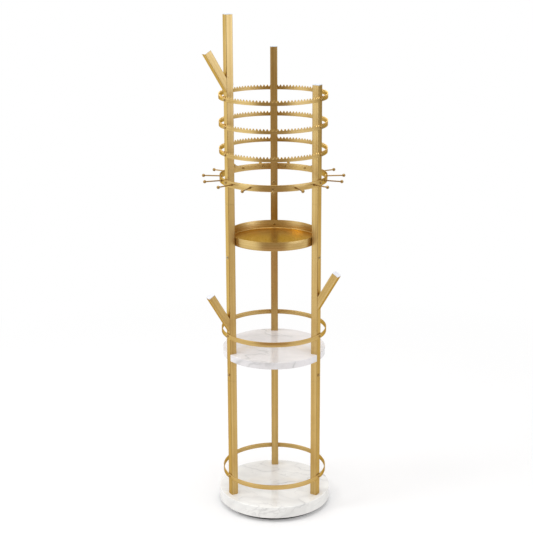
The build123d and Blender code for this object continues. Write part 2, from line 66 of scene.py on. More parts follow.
# The back post stands square to the frame, so its box gives the posts' place and width
post_low, post_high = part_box("post_back_lower")
POST_RADIUS = (post_low.y + post_high.y) / 2
POST_HALF = (post_high.x - post_low.x) / 2

# The post that carries each hook, and the hooks' lean from upright
HOOKS = {"scarf_hook": "left", "bag_hook": "left", "headband_hook": "right"}
HOOK_LEAN = math.radians(31)

# Two points closer than MERGE are one. A point nearer than NEAR to a level lies on it, and one
# nearer than CLOSE to a cut through a ring lies on that cut. An edge that turns by more than
# SHARP gets rounded, and one that turns by more than CREASE is shaded sharp.
FULL_TURN = 2 * math.pi
MERGE = 1e-6
NEAR = 1e-5
CLOSE = 1e-7
SHARP = math.radians(50)
CREASE = math.radians(35)

# Most of a noise lies in the first part of its range, and nearly all of it in the second
MIDDLE = (0.3, 0.7)
WIDE_MIDDLE = (0.25, 0.75)

# The colour sockets of the Mix node come after those for numbers and vectors
MIX_COLOURS = (6, 7)
MIX_RESULT = 2
WHITE = (1, 1, 1, 1)

# Brushing marks to the metre: across and along a straight piece, and across a round one, and
# how far those of a round piece wander, in metres
FINE_MARKS = (1500, 1500, 7)
BROAD_MARKS = (230, 230, 1.6)
FINE_ROUND = 1700.0
BROAD_ROUND = 330.0
ROUND_DRIFT = 0.004

# What the broad bands, the fine marks and the large patches add to the gold's tone, from 0 for
# dark gold to 1 for light gold, and the range of its roughness
BAND_TONE = (0.0, 0.62)
MARK_TONE = (-0.14, 0.2)
PATCH_TONE = (0.0, 0.25)
GOLD_ROUGHNESS = (0.24, 0.40)

# Painted shade along a post's corners, a dark band that stands in for their darker reflection:
# where it starts and is full, in from the post's faces, and its strength
CORNER_SHADE_BAND = (0.0018, 0.0006)
CORNER_SHADE_STRENGTH = 0.6

# The stone's veins: their slant, how far they wander and how they are drawn out
VEIN_SLANT = (0.0, 0.443, 0.2)
VEIN_WANDER = (0.08, 0.08, 0.08)
VEIN_STRETCH = (2.6, 9.0, 9.0)

# Scale, seed, width and strength of the main veins, the thin ones and the main ones' soft edge
MAIN_VEINS = (1.0, 3.1, 0.030, 1.0)
THIN_VEINS = (2.3, 8.7, 0.022, 0.5)
VEIN_EDGES = (1.0, 3.1, 0.12, 0.28)

# The parts of their noises over which the veins show and the clouds thicken, and the range of
# the stone's roughness
VEIN_PATCHES = (0.44, 0.66)
CLOUDS = (0.42, 0.75)
STONE_ROUGHNESS = (0.10, 0.17)

# Where in the stone the base and the shelf are cut
BASE_CUT = (1.36, 1.68, 2.77)
SHELF_CUT = (0.28, 2.11, 1.96)

# Cards round the studio: name, radius, lower and upper edge, first angle and sweep in degrees,
# and the colour of the light they give
CARDS = (
    ("card_near", 0.55, 0.02, 0.2, 238.0, 64.0, (0.78, 0.72, 0.58)),
    ("card_front", 1.1, 0.62, 1.8, 238.0, 64.0, (0.44, 0.37, 0.30)),
    ("card_front_low", 1.1, 0.15, 0.62, 238.0, 64.0, (0.54, 0.38, 0.30)),
    ("card_right", 1.8, 0.75, 1.7, 12.0, 34.0, (0.47, 0.46, 0.44)),
    ("card_high", 2.6, 0.95, 1.6, 312.0, 36.0, (2.0, 2.3, 3.2)),
    ("card_low", 2.6, 0.0, 0.95, 312.0, 36.0, (0.78, 0.74, 0.70)),
    ("card_left_high", 2.6, 1.0, 1.7, 192.0, 36.0, (1.64, 1.9, 2.5)),
    ("card_left", 2.6, 0.2, 1.0, 192.0, 36.0, (1.25, 1.3, 1.35)),
    ("card_behind", 1.3, 0.1, 1.7, 133.0, 34.0, (1.28, 1.38, 1.62)),
)
CARD_STEPS = 48

# Lamps: name, place, width and power, and the point that they all face
LAMPS = (
    ("key", (-2.7, -0.9, 3.2), 1.6, 34.0),
    ("fill", (2.8, -1.6, 2.4), 1.6, 4.0),
    ("overhead", (0.2, -0.3, 3.8), 2.2, 40.0),
)
LAMP_AIM = Vector((0, 0, 0.75))


def node_span(node):
    """Outer radius, lowest and highest point of a round CAD node."""
    low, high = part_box(node)
    return (high.x - low.x) / 2, low.z, high.z


# Sizes and colours that a user would change

def length(name, description, default):
    return FloatProperty(
        name=name, description=description, default=default, min=0.0, subtype="DISTANCE",
        unit="LENGTH"
    )


def angle(name, description, default):
    return FloatProperty(
        name=name, description=description, default=default, subtype="ANGLE", unit="ROTATION"
    )


def colour(name, description, default):
    return FloatVectorProperty(
        name=name, description=description, default=default, size=3, min=0.0, max=1.0,
        subtype="COLOR"
    )


def count(name, description, default, least, most):
    return IntProperty(name=name, description=description, default=default, min=least, max=most)


class FinishSettings(PropertyGroup):
    """Colours of the finishes, as linear values."""
    gold_light: colour("Gold, light", "Lightest streaks of the brushed gold", (0.68, 0.49, 0.205))
    gold_dark: colour("Gold, dark", "Darkest streaks of the brushed gold", (0.49, 0.31, 0.095))
    gold_rim: colour("Gold, rim", "Gold seen at a shallow angle", (0.62, 0.45, 0.22))
    peg_gold: colour("Peg gold", "Darker plated gold of the pegs", (0.38, 0.235, 0.075))
    screw_gold: colour("Screw gold", "Plated gold of the screws", (0.55, 0.39, 0.15))
    stone: colour("Base stone", "Ground colour of the base", (0.935, 0.925, 0.895))
    stone_cloud: colour("Base clouds", "Soft darker patches in the base", (0.885, 0.875, 0.845))
    # The shelf's stone and clouds are darker than the base's as painted shade, and pinker in tone
    shelf_stone_tone_and_shade: colour("Shelf stone", "Ground colour of the shelf", (0.90, 0.87, 0.875))
    shelf_cloud_tone_and_shade: colour("Shelf clouds", "Soft darker patches in the shelf", (0.83, 0.80, 0.81))
    vein: colour("Veins", "Thin grey veins in the stone", (0.54, 0.53, 0.52))
    hook_plug: colour("Hook plugs", "Pale plastic of the hooks' plugs", (0.78, 0.79, 0.85))
    # The posts' plugs are the hooks' plug plastic made darker as painted shade
    post_plug_with_shade: colour("Post plugs", "Pale plastic of the posts' plugs", (0.62, 0.66, 0.73))
    black: colour("Foot", "Black plastic of the foot", (0.018, 0.019, 0.021))
    rubber: colour("Pad", "Rubber of the non-slip pad", (0.03, 0.03, 0.032))
    steel: colour("Steel", "Steel of the bearing and the plated screws", (0.58, 0.58, 0.59))
    nylon: colour("Nylon", "Nylon of the pivot bush", (0.76, 0.75, 0.70))


class RingSettings(PropertyGroup):
    """Sizes of the rails and rings."""
    thickness: length("Thickness", "Thickness of the flat bar", 0.0025)
    edge: length("Edge round", "Radius of the bar's long edges", 0.0006)
    tooth_height: length("Tooth height", "From the valleys to the tips", 0.0055)
    tooth_round: length("Tooth round", "Radius of the tips and the valleys", 0.0016)
    tooth_edge: length("Tooth edge", "Softened edge of the toothed rings", 0.0003)
    teeth: count("Teeth", "Teeth round one earring ring", 99, 12, 240)
    steps: count("Steps", "Steps round a plain ring", 144, 24, 360)


class PegSettings(PropertyGroup):
    """Sizes of the necklace pegs."""
    rod: length("Rod radius", "Radius of a peg", 0.002)
    ball: length("Ball radius", "Radius of the ball at its end", 0.005)
    collar: length("Collar radius", "Radius of the shoulder against the ring", 0.0035)
    collar_length: length("Collar length", "Length of that shoulder", 0.002)
    edge: length("Edge", "Softened edge of a peg, and depth of its thread", 0.0003)
    inside: length("Inside", "How far a peg reaches in past the ring", 0.0044)
    pitch: length("Pitch", "From one turn of its thread to the next", 0.0009)
    turns: count("Turns", "Turns of its thread", 5, 1, 9)
    per_side: count("Pegs per side", "Pegs between two posts", 5, 1, 9)
    step: angle("Step", "Angle between pegs", math.radians(24))
    steps: count("Steps", "Steps round a peg", 20, 8, 64)
    ball_steps: count("Ball steps", "Steps from the rod to the ball's far end", 12, 4, 48)


class TraySettings(PropertyGroup):
    """Sizes of the tray."""
    wall: length("Wall", "Thickness of the wall and the floor", 0.0012)
    foot_round: length("Foot round", "Radius between the wall and the floor", 0.002)
    rim_round: length("Rim round", "Radius of the rim's edges", 0.0004)
    steps: count("Steps", "Steps round the tray", 144, 24, 360)


class StudioSettings(PropertyGroup):
    """Camera, room light and floor."""
    lens: FloatProperty(
        name="Lens", description="Focal length of the camera", default=86.66, unit="CAMERA"
    )
    distance: length("Distance", "From the camera to the axis of the stand", 3.8171)
    height: length("Height", "Height of the camera above the floor", 1.896)
    aside: length("Aside", "How far the camera stands to the right", 0.00345)
    tilt: angle("Tilt", "How far the camera looks down", 0.2833)
    pan: angle("Pan", "Turn of the camera to the left", 0.0068)
    roll: angle("Roll", "Roll of the camera", -0.0048)
    turn: angle("Turn", "Turn of the stand in the picture", -0.0124)
    sky: FloatProperty(
        name="Room light", description="Strength of the even light", default=0.79, min=0.0
    )
    floor: colour("Floor", "Colour of the floor", (0.80, 0.795, 0.795))
    floor_radius: length("Floor radius", "Radius of the floor", 40.0)
    fade_start: length("Fade start", "Where the floor starts to turn white", 0.6)
    fade_end: length("Fade end", "Where the floor is all white", 2.2)
    lift: FloatProperty(
        name="Floor lift", description="White added to the floor as backdrop", default=0.15,
        min=0.0
    )


# Finishes

class NodeTree:
    """The nodes of a material or a world, and a short way to add and join them."""

    def __init__(self, tree):
        self.nodes = tree.nodes
        self.links = tree.links

    def add(self, kind, inputs=None, **options):
        node = self.nodes.new("ShaderNode" + kind)
        for name, value in options.items():
            setattr(node, name, value)
        self.fill(node, inputs or {})
        return node

    def fill(self, node, inputs):
        """Links or sets the inputs of a node."""
        for name, value in inputs.items():
            if isinstance(value, bpy.types.NodeSocket):
                self.links.new(value, node.inputs[name])
            else:
                node.inputs[name].default_value = value

    def maths(self, operation, first, second=0.0):
        return self.add("Math", {0: first, 1: second}, operation=operation).outputs[0]

    def vector_maths(self, operation, first, second):
        return self.add("VectorMath", {0: first, 1: second}, operation=operation).outputs[0]

    def mapping(self, vector, inputs):
        """Moves, turns or stretches coordinates."""
        return self.add("Mapping", {"Vector": vector, **inputs}).outputs["Vector"]


class Finish(NodeTree):
    """One material and its nodes."""

    def __init__(self, name):
        self.material = bpy.data.materials.new(name)
        self.material.use_nodes = True
        super().__init__(self.material.node_tree)
        self.shader = self.nodes["Principled BSDF"]

    def set(self, inputs):
        """Fills the material's own shader."""
        self.fill(self.shader, inputs)

    def show(self, shader):
        """Puts another shader on the surface."""
        self.fill(self.nodes["Material Output"], {"Surface": shader.outputs[0]})

    def object_place(self):
        return self.add("TexCoord").outputs["Object"]

    def place(self, scale=(1, 1, 1), turn=(0, 0, 0), centre=(0, 0, 0)):
        """Object coordinates, turned and moved, then stretched."""
        turned = self.mapping(self.object_place(), {"Location": centre, "Rotation": turn})
        return self.mapping(turned, {"Scale": scale})

    def noise(self, vector, scale=1.0, detail=2.0, roughness=0.5, output="Fac"):
        inputs = {"Vector": vector, "Scale": scale, "Detail": detail, "Roughness": roughness}
        return self.add("TexNoise", inputs).outputs[output]

    def grain(self, scale, detail):
        """A noise that is the same in all directions."""
        return self.noise(self.place((scale, scale, scale)), detail=detail)

    def span(self, value, low, high, start=0.0, end=1.0):
        """A value spread from one range to another, and held inside it."""
        inputs = {"Value": value, "From Min": start, "From Max": end, "To Min": low, "To Max": high}
        return self.add("MapRange", inputs).outputs["Result"]

    def mix(self, factor, first, second):
        """Colour between two colours."""
        node = self.add("Mix", {"Factor": factor}, data_type="RGBA")
        for socket, value in zip(MIX_COLOURS, (first, second)):
            linked = isinstance(value, bpy.types.NodeSocket)
            self.fill(node, {socket: value if linked else (*value, 1.0)})
        return node.outputs[MIX_RESULT]

    def bump(self, height, strength, distance):
        inputs = {"Height": height, "Strength": strength, "Distance": distance}
        return self.add("Bump", inputs).outputs["Normal"]


def dimmed(tint, share):
    return tuple(share * part for part in tint)


def streaks(finish, along):
    """Fine and broad brushing marks that run round the stand's axis or along a turned piece."""
    if along == "round":
        place = finish.object_place()
        parts = finish.add("SeparateXYZ", {"Vector": place}).outputs
        squares = [finish.maths("MULTIPLY", parts[axis], parts[axis]) for axis in ("X", "Y")]
        radius = finish.maths("SQRT", finish.maths("ADD", *squares))
        wave = finish.noise(place, scale=14.0, detail=1.0)
        drift = finish.maths("MULTIPLY", wave, ROUND_DRIFT)
        height = finish.maths("ADD", parts["Z"], drift)
        vector = finish.add("CombineXYZ", {"X": radius, "Y": drift, "Z": height}).outputs[0]
        fine = finish.noise(vector, FINE_ROUND, detail=3.0, roughness=0.6)
        broad = finish.noise(vector, BROAD_ROUND, detail=2.0)
    else:
        turn = (0, 0, 0) if along == "upright" else along
        fine = finish.noise(finish.place(FINE_MARKS, turn), detail=3.0, roughness=0.6)
        broad = finish.noise(finish.place(BROAD_MARKS, turn), detail=2.0)
    return fine, broad


def painted_corner_shade(finish, side):
    """1 along the four rounded corners of a post, where painted shade darkens the gold, else 0."""
    turn = (0, 0, -math.radians(POST_ANGLES[side]))
    place = finish.place(turn=turn, centre=(-POST_RADIUS, 0, 0))
    parts = finish.add("SeparateXYZ", {"Vector": place}).outputs
    across = [finish.maths("ABSOLUTE", parts[axis]) for axis in ("X", "Y")]
    start, end = (POST_HALF - inset for inset in CORNER_SHADE_BAND)
    return finish.span(finish.maths("MINIMUM", *across), 0.0, 1.0, start, end)


def brushed_gold(name, along, post=None):
    """Gold brushed along the piece, a little uneven in tone and gloss, with painted shade on post
    corners.
    """
    finish = Finish(name)
    fine, broad = streaks(finish, along)
    bands = finish.span(broad, *BAND_TONE, *MIDDLE)
    marks = finish.span(fine, *MARK_TONE, *MIDDLE)
    patches = finish.span(finish.grain(scale=9, detail=2.0), *PATCH_TONE, *MIDDLE)
    tone = finish.maths("ADD", finish.maths("ADD", bands, marks), patches)
    colours = bpy.context.scene.stand_finish
    ground = finish.mix(tone, colours.gold_dark, colours.gold_light)
    # On a post, painted shade: the gold darkens along the post's corners
    if post:
        lines = finish.maths("MULTIPLY", painted_corner_shade(finish, post), CORNER_SHADE_STRENGTH)
        ground = finish.mix(lines, ground, dimmed(colours.gold_dark, share=0.6))
    finish.set({
        "Base Color": ground,
        "Metallic": 1.0,
        "Roughness": finish.span(fine, *GOLD_ROUGHNESS, *WIDE_MIDDLE),
        "Normal": finish.bump(fine, strength=0.22, distance=0.00004),
        "Specular Tint": (*colours.gold_rim, 1.0),
    })
    return finish.material


def plated(name, tint, roughness=(0.16, 0.3)):
    """Turned and plated metal, with faint smears in its gloss."""
    finish = Finish(name)
    smear = finish.grain(scale=420, detail=3.0)
    patches = finish.span(smear, 0.0, 1.0, *MIDDLE)
    finish.set({
        "Base Color": finish.mix(patches, dimmed(tint, share=0.82), tint),
        "Metallic": 1.0,
        "Roughness": finish.span(smear, *roughness, *MIDDLE),
        "Normal": finish.bump(smear, strength=0.1, distance=0.00003),
    })
    return finish.material


def polished_stone(name, cut, ground, cloud):
    """White stone with soft clouds and thin slanted grey veins under a clear gloss."""
    finish = Finish(name)
    place = finish.place(turn=VEIN_SLANT, centre=cut)
    wander = finish.noise(place, scale=5.5, detail=5.0, roughness=0.55, output="Color")
    bent = finish.vector_maths(
        "ADD", place, finish.vector_maths("MULTIPLY", wander, VEIN_WANDER)
    )
    stretched = finish.mapping(bent, {"Scale": VEIN_STRETCH})

    def veins(scale, seed, width, strength):
        """Falls from its strength in the middle of a vein to 0 at its edges."""
        moved = finish.mapping(stretched, {"Location": (seed, seed, -seed)})
        pattern = finish.noise(moved, scale, detail=3.0)
        off_middle = finish.maths("ABSOLUTE", finish.maths("SUBTRACT", pattern, 0.5))
        return finish.maths("MULTIPLY", finish.span(off_middle, 1.0, 0.0, 0.0, width), strength)

    patches = finish.span(finish.noise(place, scale=7.0, detail=2.0), 0.0, 1.0, *VEIN_PATCHES)
    sharp = finish.maths("MAXIMUM", veins(*MAIN_VEINS), veins(*THIN_VEINS))
    lines = finish.maths("MAXIMUM", finish.maths("MULTIPLY", sharp, patches), veins(*VEIN_EDGES))
    drifts = finish.noise(place, scale=11.0, detail=4.0, roughness=0.6)
    clouds = finish.span(drifts, 0.0, 1.0, *CLOUDS)
    polish = finish.grain(scale=260, detail=2.0)
    finish.set({
        "Base Color": finish.mix(
            lines, finish.mix(clouds, ground, cloud), bpy.context.scene.stand_finish.vein
        ),
        "Roughness": finish.span(clouds, *STONE_ROUGHNESS),
        "Normal": finish.bump(polish, strength=0.03, distance=0.00004),
    })
    return finish.material


def moulded(name, tint, roughness, scale=900.0, depth=0.00004):
    """Moulded plastic or rubber with a fine grain."""
    finish = Finish(name)
    grain = finish.grain(scale, detail=2.0)
    patches = finish.span(finish.grain(scale=40, detail=2.0), 0.0, 1.0, *MIDDLE)
    spread = 0.06
    finish.set({
        "Base Color": finish.mix(patches, dimmed(tint, share=0.93), tint),
        "Roughness": finish.span(grain, roughness - spread, roughness + spread, *MIDDLE),
        "Normal": finish.bump(grain, strength=0.2, distance=depth),
    })
    return finish.material


def dress(material, *nodes):
    """Gives CAD nodes their finish."""
    for node in nodes:
        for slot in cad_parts[node].material_slots:
            slot.material = material


# Making new pieces

def spun(outline, steps, closed=True):
    """A bmesh of an outline of (radius, height) corners, turned once round the stand's axis."""
    bm = bmesh.new()
    corners = [bm.verts.new((radius, 0, height)) for radius, height in outline]
    pairs = list(zip(corners, corners[1:])) + ([(corners[-1], corners[0])] if closed else [])
    edges = [bm.edges.new(pair) for pair in pairs]
    bmesh.ops.spin(
        bm, geom=corners + edges, cent=(0, 0, 0), axis=(0, 0, 1), angle=FULL_TURN, steps=steps,
        use_merge=True
    )
    clean(bm)
    return bm


def clean(bm):
    """Merges doubles and turns every face outwards."""
    bmesh.ops.remove_doubles(bm, verts=bm.verts, dist=MERGE)
    bmesh.ops.recalc_face_normals(bm, faces=bm.faces)


def turn_about_axis(bm, verts, by):
    bmesh.ops.rotate(bm, verts=verts, cent=(0, 0, 0), matrix=Matrix.Rotation(by, 3, "Z"))


def corners_of(geometry):
    return [part for part in geometry if isinstance(part, bmesh.types.BMVert)]


def repeat(bm, share, turns):
    """Copies a share of a piece to other places round the stand's axis."""
    for turn in turns:
        copy = bmesh.ops.duplicate(bm, geom=share)["geom"]
        turn_about_axis(bm, corners_of(copy), turn)


def sharp_edges(bm, where=None):
    """Edges that turn sharply, all or only those whose ends are where they should be."""
    return [
        edge for edge in bm.edges
        if len(edge.link_faces) == 2 and edge.calc_face_angle() > SHARP
        and (where is None or all(where(vert.co) for vert in edge.verts))
    ]


def soften(bm, edges, width, segments):
    """Rounds the given edges."""
    bmesh.ops.bevel(
        bm, geom=edges, offset=width, offset_type="OFFSET", affect="EDGES", segments=segments,
        profile=0.5, material=-1, clamp_overlap=True
    )


def linked_object(bm, name):
    """An object at the origin with its place in its mesh."""
    mesh = bpy.data.meshes.new(name)
    bm.to_mesh(mesh)
    bm.free()
    thing = bpy.data.objects.new(name, mesh)
    bpy.context.scene.collection.objects.link(thing)
    return thing


def new_piece(bm, name, material, *nodes):
    """Makes the object of a gold piece, which rides on the stand and stands for its CAD nodes."""
    bm.normal_update()
    piece = linked_object(bm, name)
    piece.data.shade_smooth()
    piece.data.set_sharp_from_angle(angle=CREASE)
    piece.data.materials.append(material)
    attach(piece, STAND)
    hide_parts(*nodes)


class STAND_OT_posts(Operator):
    """Brush the posts upright, with the sleeves at their joints"""
    bl_idname = "stand.posts"
    bl_label = "Posts"
    bl_options = {"REGISTER", "UNDO"}

    def execute(self, context):
        for side in POST_ANGLES:
            gold = brushed_gold(f"gold_{side}_post", "upright", side)
            dress(gold, *(f"post_{side}_{level}" for level in ("lower", "middle", "upper")))
        gold = brushed_gold("gold_upright", "upright")
        dress(gold, "lower_joiners", "upper_joiners", "shelf_brackets")
        return {"FINISHED"}


class STAND_OT_hooks(Operator):
    """Brush the slanted hooks along their length"""
    bl_idname = "stand.hooks"
    bl_label = "Hooks"
    bl_options = {"REGISTER", "UNDO"}

    def execute(self, context):
        lean = Matrix.Rotation(-HOOK_LEAN, 4, "Y")
        for hook, side in HOOKS.items():
            around = Matrix.Rotation(-math.radians(POST_ANGLES[side]), 4, "Z")
            along = tuple((lean @ around).to_euler())
            dress(brushed_gold(f"gold_{hook}", along), hook)
        return {"FINISHED"}


class STAND_OT_stone(Operator):
    """Give the base and the shelf their polished stone"""
    bl_idname = "stand.stone"
    bl_label = "Base and shelf"
    bl_options = {"REGISTER", "UNDO"}

    def execute(self, context):
        colours = context.scene.stand_finish
        # The shelf takes the darker stone colours, which carry painted shade
        for name, node, cut, ground, cloud in (
            ("stone_base", "base_disc", BASE_CUT, colours.stone, colours.stone_cloud),
            ("stone_shelf", "middle_shelf", SHELF_CUT, colours.shelf_stone_tone_and_shade, colours.shelf_cloud_tone_and_shade),
        ):
            dress(polished_stone(name, cut, ground, cloud), node)
        return {"FINISHED"}


class STAND_OT_rings(Operator):
    """Make the two rails and the necklace ring from flat bar with rounded edges"""
    bl_idname = "stand.rings"
    bl_label = "Rails and necklace ring"
    bl_options = {"REGISTER", "UNDO"}

    def execute(self, context):
        sizes = context.scene.stand_rings
        gold = brushed_gold("gold_round", "round")
        for node in ("base_rail", "middle_rail", "necklace_ring"):
            outer, low, high = node_span(node)
            inner = outer - sizes.thickness
            bm = spun(((inner, low), (outer, low), (outer, high), (inner, high)), sizes.steps)
            soften(bm, sharp_edges(bm), sizes.edge, segments=3)
            new_piece(bm, f"{node}_bar", gold, node)
        return {"FINISHED"}


class STAND_OT_earring_rings(Operator):
    """Make the three rings with a rounded toothed upper edge"""
    bl_idname = "stand.earring_rings"
    bl_label = "Earring rings"
    bl_options = {"REGISTER", "UNDO"}

    def execute(self, context):
        sizes = context.scene.stand_rings
        gold = brushed_gold("gold_teeth", "round")
        for level in ("lower", "middle", "top"):
            node = f"earring_ring_{level}"
            bm = self.toothed_ring(sizes, *node_span(node))
            new_piece(bm, f"{node}_toothed", gold, node)
        return {"FINISHED"}

    def toothed_ring(self, sizes, outer, low, high):
        """One tooth's share of the ring, made once and repeated round the axis."""
        pitch = FULL_TURN / sizes.teeth
        inner = outer - sizes.thickness
        half = inner * math.tan(pitch / 2)
        bm = bmesh.new()
        self.tooth_face(bm, sizes, inner, half, low, high)
        face_out = bmesh.ops.extrude_face_region(bm, geom=bm.faces[:])
        moved = corners_of(face_out["geom"])
        bmesh.ops.translate(bm, verts=moved, vec=(outer - inner, 0, 0))
        bmesh.ops.scale(bm, verts=moved, vec=(1, outer / inner, 1))
        sides = [
            face for face in bm.faces
            if all(abs(abs(vert.co.y) - half * vert.co.x / inner) < CLOSE for vert in face.verts)
        ]
        bmesh.ops.delete(bm, geom=sides, context="FACES_ONLY")
        share = bm.verts[:] + bm.edges[:] + bm.faces[:]
        repeat(bm, share, [n * pitch for n in range(1, sizes.teeth)])
        clean(bm)
        soften(bm, sharp_edges(bm), sizes.tooth_edge, segments=1)
        return bm

    def tooth_face(self, bm, sizes, inner, half, low, high):
        """The inner face of one share, from valley to tip, with both rounded."""
        lean = math.atan2(half, sizes.tooth_height + 2 * sizes.tooth_round)
        over = sizes.tooth_round / math.sin(lean) - sizes.tooth_round
        tip, valley = high + over, high - sizes.tooth_height - over
        middle = (tip + valley) / 2
        outline = (
            (-half, low), (half, low), (half, middle), (half / 2, valley), (-half / 2, tip),
            (-half, middle),
        )
        corners = [bm.verts.new((inner, side, height)) for side, height in outline]
        bm.faces.new(corners)
        bmesh.ops.bevel(
            bm, geom=corners[3:5], offset=sizes.tooth_round / math.tan(lean),
            offset_type="OFFSET", affect="VERTICES", segments=4, profile=0.5, material=-1
        )


class STAND_OT_pegs(Operator):
    """Make the turned necklace pegs with a ball at the end"""
    bl_idname = "stand.pegs"
    bl_label = "Necklace pegs"
    bl_options = {"REGISTER", "UNDO"}

    def execute(self, context):
        scene = context.scene
        sizes = scene.stand_pegs
        low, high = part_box("necklace_pegs")
        ring = node_span("necklace_ring")[0]
        middle = (sizes.per_side - 1) / 2
        around = [
            math.radians(post + HALF_GAP) + (n - middle) * sizes.step
            for post in POST_ANGLES.values() for n in range(sizes.per_side)
        ]
        reach = high.x / max(math.cos(turn) for turn in around)
        start = ring - scene.stand_rings.thickness - sizes.inside
        bm = self.peg(sizes, start, ring, reach - sizes.ball)
        bmesh.ops.translate(bm, verts=bm.verts, vec=(0, 0, (low.z + high.z) / 2))
        share = bm.verts[:] + bm.edges[:] + bm.faces[:]
        turn_about_axis(bm, bm.verts, around[0])
        repeat(bm, share, [turn - around[0] for turn in around[1:]])
        gold = plated("gold_pegs", scene.stand_finish.peg_gold, roughness=(0.2, 0.34))
        new_piece(bm, "necklace_pegs_turned", gold, "necklace_pegs")
        return {"FINISHED"}

    def peg(self, sizes, start, ring, ball_at):
        """A rod along X with a thread inside the ring, a collar on it and a ball at its end."""
        rod, collar, edge = sizes.rod, sizes.collar, sizes.edge
        outline = [(start, 0.0), (start, rod - 2 * edge)]
        for n in range(sizes.turns):
            crest = start + 2 * edge + n * sizes.pitch
            outline += [(crest, rod), (crest + sizes.pitch / 2, rod - edge)]
        collar_end = ring + sizes.collar_length
        outline += [
            (ring, rod), (ring, collar - edge), (ring + edge, collar),
            (collar_end - 2 * edge, collar), (collar_end, collar - 2 * edge), (collar_end, rod),
        ]
        neck = math.asin(rod / sizes.ball)
        outline.append((ball_at - sizes.ball * math.cos(neck), rod))
        bm = bmesh.new()
        verts = [bm.verts.new((along, 0, radius)) for along, radius in outline]
        for pair in zip(verts, verts[1:]):
            bm.edges.new(pair)
        bmesh.ops.spin(
            bm, geom=[verts[-1]], cent=(ball_at, 0, 0), axis=(0, 1, 0), angle=math.pi - neck,
            steps=sizes.ball_steps
        )
        bmesh.ops.spin(
            bm, geom=bm.verts[:] + bm.edges[:], cent=(0, 0, 0), axis=(1, 0, 0), angle=FULL_TURN,
            steps=sizes.steps, use_merge=True
        )
        clean(bm)
        return bm


class STAND_OT_tray(Operator):
    """Make the round tray with a thin upright wall"""
    bl_idname = "stand.tray"
    bl_label = "Tray"
    bl_options = {"REGISTER", "UNDO"}

    def execute(self, context):
        sizes = context.scene.stand_tray
        outer, low, high = node_span("tray")
        floor = low + sizes.wall
        inner = outer - sizes.wall
        outline = (
            (0, low), (outer / 2, low), (outer, low), (outer, high), (inner, high),
            (inner, floor), (outer / 2, floor), (0, floor),
        )
        bm = spun(outline, sizes.steps, closed=False)
        for where, width, segments in (
            (lambda corner: corner.z < low + NEAR, sizes.foot_round, 4),
            (lambda corner: abs(corner.z - floor) < NEAR, sizes.foot_round, 4),
            (lambda corner: corner.z > high - NEAR, sizes.rim_round, 2),
        ):
            soften(bm, sharp_edges(bm, where), width, segments)
        new_piece(bm, "tray_spun", brushed_gold("gold_tray", "round"), "tray")
        return {"FINISHED"}


class STAND_OT_plugs(Operator):
    """Give the end plugs their pale moulded plastic"""
    bl_idname = "stand.plugs"
    bl_label = "End plugs"
    bl_options = {"REGISTER", "UNDO"}

    def execute(self, context):
        colours = context.scene.stand_finish
        dress(moulded("pale_plastic", colours.hook_plug, roughness=0.42), "hook_end_caps")
        # The posts' plugs get the darker plastic, painted shade
        dress(moulded("post_plastic_with_shade", colours.post_plug_with_shade, roughness=0.42), "post_end_caps")
        return {"FINISHED"}


class STAND_OT_fasteners(Operator):
    """Plate the screws, nuts, inserts and bolts"""
    bl_idname = "stand.fasteners"
    bl_label = "Fasteners"
    bl_options = {"REGISTER", "UNDO"}

    def execute(self, context):
        colours = context.scene.stand_finish
        plating = {
            "gold_screws": plated("plated_gold", colours.screw_gold),
            "plated_screws": plated("plated_steel", colours.steel),
        }
        for node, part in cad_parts.items():
            slot = part.material_slots[0].material.name
            if slot in plating:
                dress(plating[slot], node)
        return {"FINISHED"}


class STAND_OT_foot(Operator):
    """Finish the swivel foot, its pad and the bearing"""
    bl_idname = "stand.foot"
    bl_label = "Swivel foot"
    bl_options = {"REGISTER", "UNDO"}

    def execute(self, context):
        colours = context.scene.stand_finish
        dress(moulded("black_plastic", colours.black, roughness=0.45), "foot_plate")
        rubber = moulded("pad_rubber", colours.rubber, roughness=0.75, scale=1400.0, depth=0.00008)
        dress(rubber, "non_slip_pad")
        races = plated("race_steel", colours.steel, roughness=(0.22, 0.36))
        dress(races, "lower_race", "upper_race", "pivot_pin")
        dress(plated("ball_polish", colours.steel, roughness=(0.05, 0.12)), "bearing_balls")
        dress(moulded("bush_nylon", colours.nylon, roughness=0.5), "pivot_bush")
        return {"FINISHED"}


# Studio

def seen_as_backdrop(tree):
    """1 where the camera, a reflection or a view through glass sees a surface, else 0."""
    path = tree.add("LightPath").outputs
    seen = tree.maths("MAXIMUM", path["Is Camera Ray"], path["Is Glossy Ray"])
    return tree.maths("MAXIMUM", seen, path["Is Transmission Ray"])


def staged(bm, name, finish):
    """An object of the studio, which isn't part of the stand."""
    thing = linked_object(bm, name)
    thing.data.materials.append(finish.material)
    return thing


